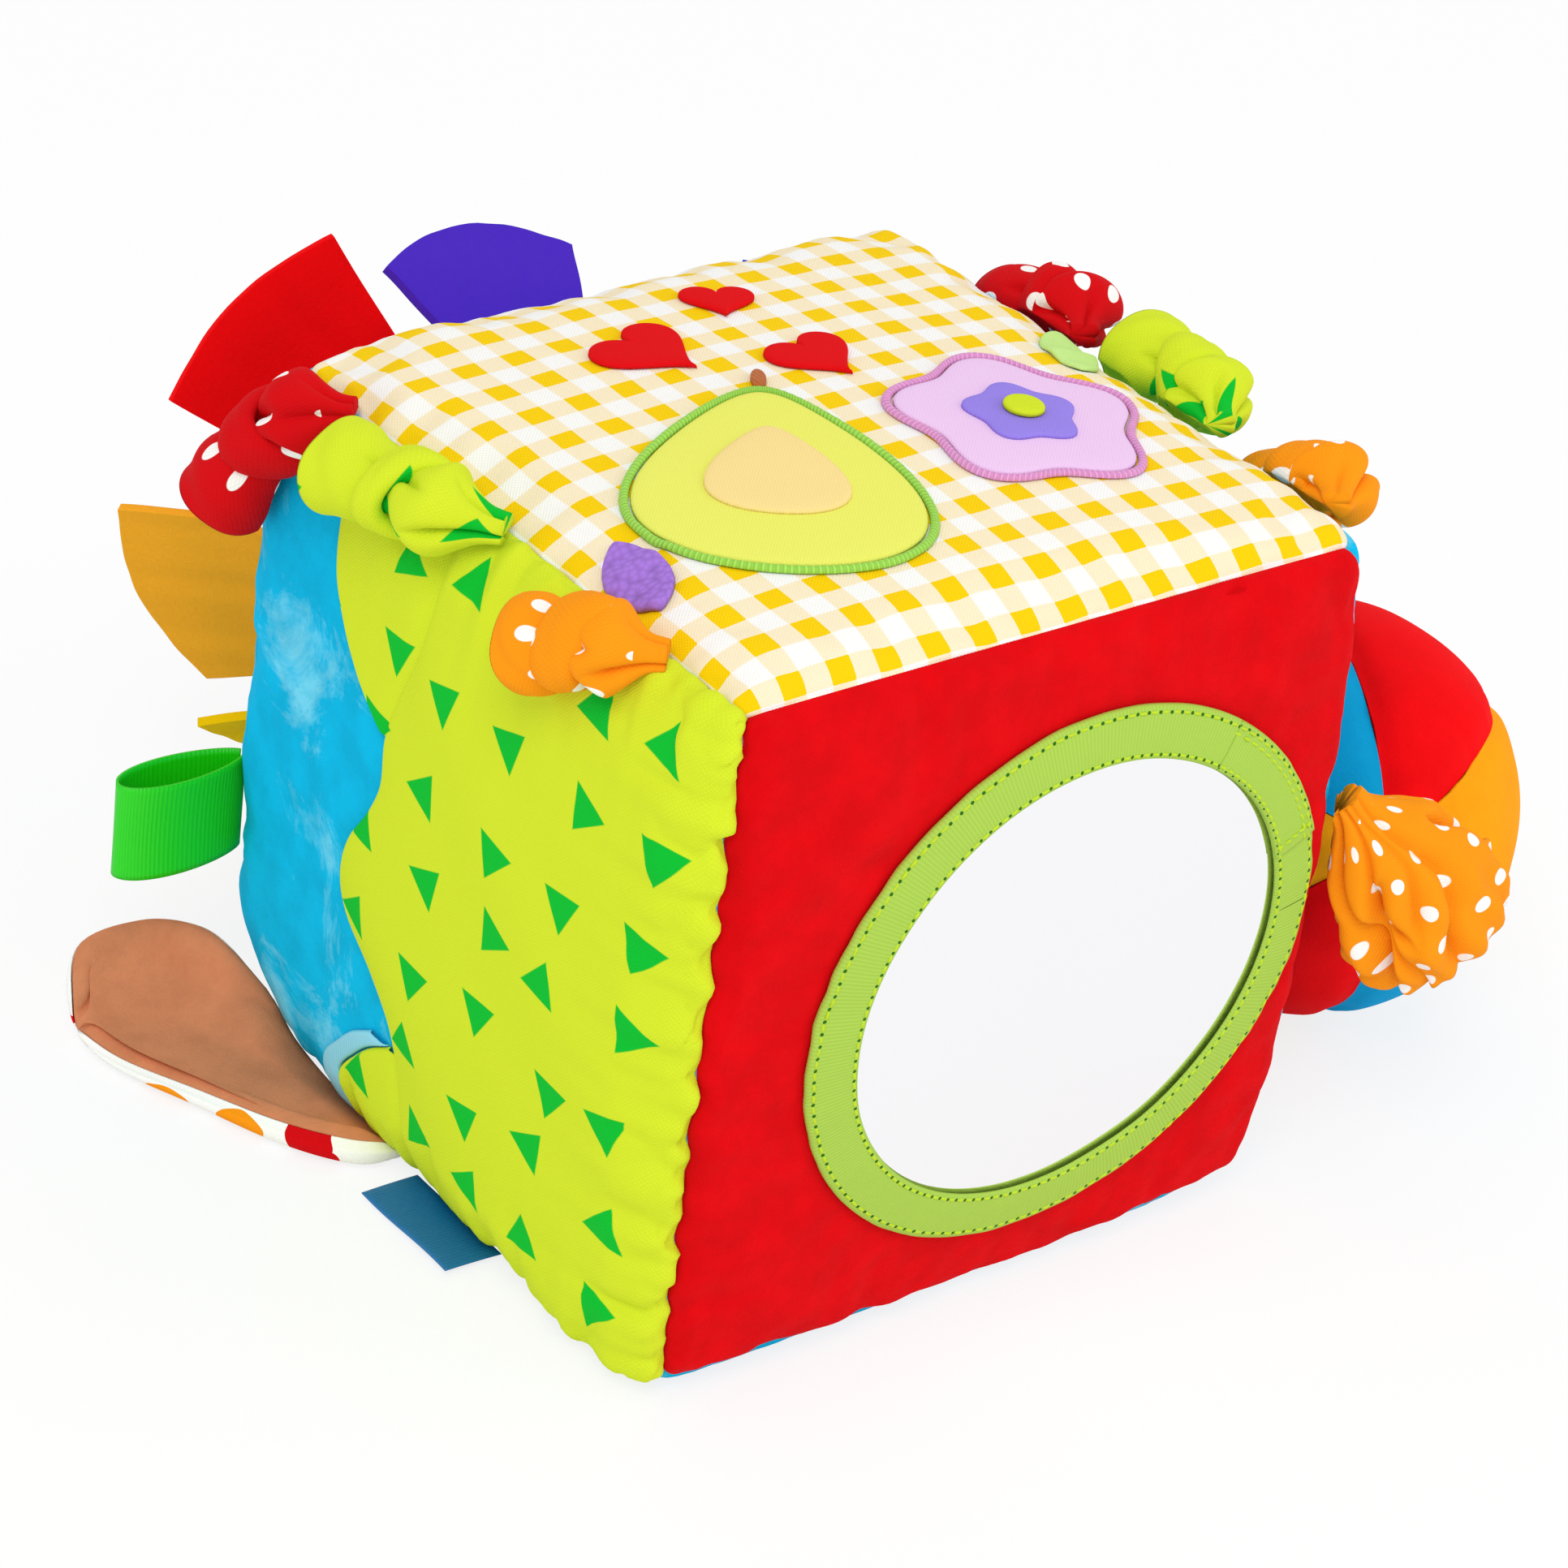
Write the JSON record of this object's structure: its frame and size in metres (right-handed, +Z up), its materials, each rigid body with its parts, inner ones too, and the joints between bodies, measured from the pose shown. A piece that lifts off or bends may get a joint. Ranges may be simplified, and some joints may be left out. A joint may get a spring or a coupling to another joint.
{
  "type": "activity cube",
  "caption": "Soft sewn baby activity cube with a round mirror, padded hill picture, gathered tails, felt petals, a stuffed ball, ribbon loop, plush ear and label.",
  "frame": {"origin": "middle of the bottom panel's flat underside", "axes": "+Z up, the mirror looks along -Y, +X to its right"},
  "size_m": [0.2799, 0.2321, 0.159],
  "materials": {
    "gingham_cotton": "woven yellow and white check",
    "red_plush": "short pile plush",
    "blue_plush": "short pile plush with pale cloud patches",
    "foam": "open cell foam, stands in for the filling",
    "rattle_plastic": "smooth",
    "mirror_film": "flexible mirror film",
    "green_tape": "woven tape with two rows of stitching",
    "lime_cotton": "printed cotton with green triangles",
    "pale_blue_satin": "satin",
    "red_felt": "felt",
    "pale_lime_cotton": "cotton with white dots",
    "green_satin_thread": "satin stitch",
    "peach_cotton": "cotton with white dots",
    "brown_thread": "stitching",
    "purple_terry": "looped terry",
    "pink_cotton": "cotton with white dots",
    "pink_satin_thread": "satin stitch",
    "violet_cotton": "cotton",
    "lime_spot_cotton": "cotton",
    "red_dotted_cotton": "gathered cotton with white dots",
    "orange_dotted_cotton": "gathered cotton with white dots",
    "ball_red_velour": "velour",
    "ball_orange_velour": "velour",
    "ball_blue_velour": "velour",
    "fibre_filling": "polyester fibre",
    "yellow_plush": "short pile plush",
    "purple_felt_petal": "brushed cloth",
    "red_felt_petal": "brushed cloth",
    "orange_felt_petal": "brushed cloth",
    "yellow_felt_petal": "brushed cloth",
    "green_felt_petal": "brushed cloth",
    "blue_felt_petal": "brushed cloth",
    "indigo_felt_petal": "brushed cloth",
    "green_ribbon": "satin ribbon",
    "brown_plush": "short pile plush",
    "dotted_lining": "white cotton with orange and red dots",
    "blue_label_satin": "bare satin label"
  },
  "bodies": {
    "cube": {"top_panel": "gingham_cotton", "mirror_panel": "red_plush", "left_panel": "blue_plush", "back_panel": "blue_plush", "right_panel": "blue_plush", "base_panel": "blue_plush", "foam_core": "foam", "foam_plug": "foam", "rattle_case_upper": "rattle_plastic", "rattle_case_lower": "rattle_plastic", "mirror_sheet": "mirror_film", "mirror_ring": "green_tape", "front_hill": "lime_cotton", "upper_hill": "lime_cotton", "lower_hill": "lime_cotton", "pale_edging": "pale_blue_satin", "heart_1": "red_felt", "heart_2": "red_felt", "heart_3": "red_felt", "pear_patch": "pale_lime_cotton", "pale_leaf": "pale_lime_cotton", "pear_border": "green_satin_thread", "pear_core_patch": "peach_cotton", "pear_stalk": "brown_thread", "terry_leaf": "purple_terry", "flower_patch": "pink_cotton", "flower_border": "pink_satin_thread", "flower_eye": "violet_cotton", "flower_spot": "lime_spot_cotton", "petal_hub": "yellow_plush"},
    "rattle_bead_1": {"rattle_bead_1": "rattle_plastic"},
    "rattle_bead_2": {"rattle_bead_2": "rattle_plastic"},
    "rattle_bead_3": {"rattle_bead_3": "rattle_plastic"},
    "left_red_tail": {"left_red_tail": "red_dotted_cotton"},
    "left_lime_tail": {"left_lime_tail": "lime_cotton"},
    "left_orange_tail": {"left_orange_tail": "orange_dotted_cotton"},
    "right_red_tail": {"right_red_tail": "red_dotted_cotton"},
    "right_lime_tail": {"right_lime_tail": "lime_cotton"},
    "right_orange_tail": {"right_orange_tail": "orange_dotted_cotton"},
    "orange_puff": {"orange_puff": "orange_dotted_cotton"},
    "ball": {"ball_red_wedge_1": "ball_red_velour", "ball_orange_wedge_1": "ball_orange_velour", "ball_blue_wedge_1": "ball_blue_velour", "ball_red_wedge_2": "ball_red_velour", "ball_orange_wedge_2": "ball_orange_velour", "ball_blue_wedge_2": "ball_blue_velour", "ball_filling": "fibre_filling", "ball_tape": "blue_plush"},
    "purple_petal": {"purple_petal": "purple_felt_petal"},
    "red_petal": {"red_petal": "red_felt_petal"},
    "orange_petal": {"orange_petal": "orange_felt_petal"},
    "yellow_petal": {"yellow_petal": "yellow_felt_petal"},
    "green_petal": {"green_petal": "green_felt_petal"},
    "blue_petal": {"blue_petal": "blue_felt_petal"},
    "indigo_petal": {"indigo_petal": "indigo_felt_petal"},
    "ribbon_loop": {"ribbon_loop": "green_ribbon"},
    "ear": {"ear_plush": "brown_plush", "ear_lining": "dotted_lining"},
    "side_label": {"side_label": "blue_label_satin"}
  },
  "joints": [
    {"name": "rattle_bead_1_travel", "type": "slide", "parent": "cube", "child": "rattle_bead_1", "axis": [0, 0, 1], "range_m": [0, 0.01718]},
    {"name": "rattle_bead_2_travel", "type": "slide", "parent": "cube", "child": "rattle_bead_2", "axis": [0, 0, 1], "range_m": [0, 0.01718]},
    {"name": "rattle_bead_3_travel", "type": "slide", "parent": "cube", "child": "rattle_bead_3", "axis": [0, 0, 1], "range_m": [0, 0.01718]},
    {"name": "left_red_tail_swing", "type": "hinge", "parent": "cube", "child": "left_red_tail", "pos_m": [-0.07425, 0.04581, 0.1492], "axis": [0, 0, 1], "range_deg": [0, 35], "stiffness_Nm_per_rad": 0.01},
    {"name": "left_lime_tail_swing", "type": "hinge", "parent": "cube", "child": "left_lime_tail", "pos_m": [-0.07446, -0.004, 0.14943], "axis": [0, 0, 1], "range_deg": [0, 35], "stiffness_Nm_per_rad": 0.01},
    {"name": "left_orange_tail_swing", "type": "hinge", "parent": "cube", "child": "left_orange_tail", "pos_m": [-0.07431, -0.05288, 0.14927], "axis": [0, 0, 1], "range_deg": [0, 60], "stiffness_Nm_per_rad": 0.01},
    {"name": "right_red_tail_swing", "type": "hinge", "parent": "cube", "child": "right_red_tail", "pos_m": [0.07446, 0.01301, 0.14943], "axis": [0, 0, -1], "range_deg": [0, 35], "stiffness_Nm_per_rad": 0.01},
    {"name": "right_lime_tail_swing", "type": "hinge", "parent": "cube", "child": "right_lime_tail", "pos_m": [0.07446, -0.02801, 0.14942], "axis": [0, 0, -1], "range_deg": [0, 35], "stiffness_Nm_per_rad": 0.01},
    {"name": "right_orange_tail_swing", "type": "hinge", "parent": "cube", "child": "right_orange_tail", "pos_m": [0.07414, -0.06171, 0.14908], "axis": [0, 0, -1], "range_deg": [0, 60], "stiffness_Nm_per_rad": 0.01},
    {"name": "orange_puff_swing", "type": "hinge", "parent": "cube", "child": "orange_puff", "pos_m": [0.07613, -0.07613, 0.092], "axis": [0, 0, -1], "range_deg": [0, 60], "stiffness_Nm_per_rad": 0.02},
    {"name": "ball_swing", "type": "hinge", "parent": "cube", "child": "ball", "pos_m": [0.08037, -0.02153, 0.0449], "axis": [0, 0, 1], "range_deg": [0, 18], "stiffness_Nm_per_rad": 0.05},
    {"name": "purple_petal_flap", "type": "hinge", "parent": "cube", "child": "purple_petal", "pos_m": [0.00849, 0.08397, 0.10206], "axis": [-0.9563, 0, 0.2924], "range_deg": [-44, 20], "stiffness_Nm_per_rad": 0.02},
    {"name": "red_petal_flap", "type": "hinge", "parent": "cube", "child": "red_petal", "pos_m": [-0.01983, 0.08412, 0.0957], "axis": [-0.7314, 0, -0.682], "range_deg": [-7, 20], "stiffness_Nm_per_rad": 0.02},
    {"name": "orange_petal_flap", "type": "hinge", "parent": "cube", "child": "orange_petal", "pos_m": [-0.02771, 0.08426, 0.06625], "axis": [0.309, 0, -0.9511], "range_deg": [-41, 8], "stiffness_Nm_per_rad": 0.02},
    {"name": "yellow_petal_flap", "type": "hinge", "parent": "cube", "child": "yellow_petal", "pos_m": [-0.01319, 0.08402, 0.04979], "axis": [0.891, 0, -0.454], "range_deg": [0, 8], "stiffness_Nm_per_rad": 0.02},
    {"name": "green_petal_flap", "type": "hinge", "parent": "cube", "child": "green_petal", "pos_m": [0.01135, 0.084, 0.04895], "axis": [0.9205, 0, 0.3907], "range_deg": [0, 8], "stiffness_Nm_per_rad": 0.02},
    {"name": "blue_petal_flap", "type": "hinge", "parent": "cube", "child": "blue_petal", "pos_m": [0.02701, 0.08425, 0.0644], "axis": [0.3746, 0, 0.9272], "range_deg": [-15, 20], "stiffness_Nm_per_rad": 0.02},
    {"name": "indigo_petal_flap", "type": "hinge", "parent": "cube", "child": "indigo_petal", "pos_m": [0.02738, 0.08425, 0.08468], "axis": [-0.342, 0, 0.9397], "range_deg": [-9, 20], "stiffness_Nm_per_rad": 0.02},
    {"name": "ribbon_loop_swing", "type": "hinge", "parent": "cube", "child": "ribbon_loop", "pos_m": [-0.0744, 0.0744, 0.05001], "axis": [0, 0, 1], "range_deg": [-15, 15], "stiffness_Nm_per_rad": 0.005},
    {"name": "ear_flap", "type": "hinge", "parent": "cube", "child": "ear", "pos_m": [-0.0747, 0.0375, 0.0032], "axis": [0, 1, 0], "range_deg": [0, 35], "stiffness_Nm_per_rad": 0.05},
    {"name": "side_label_flap", "type": "hinge", "parent": "cube", "child": "side_label", "pos_m": [-0.07325, -0.008, 0.0012], "axis": [0, 1, 0], "range_deg": [0, 30], "stiffness_Nm_per_rad": 0.002}
  ]
}
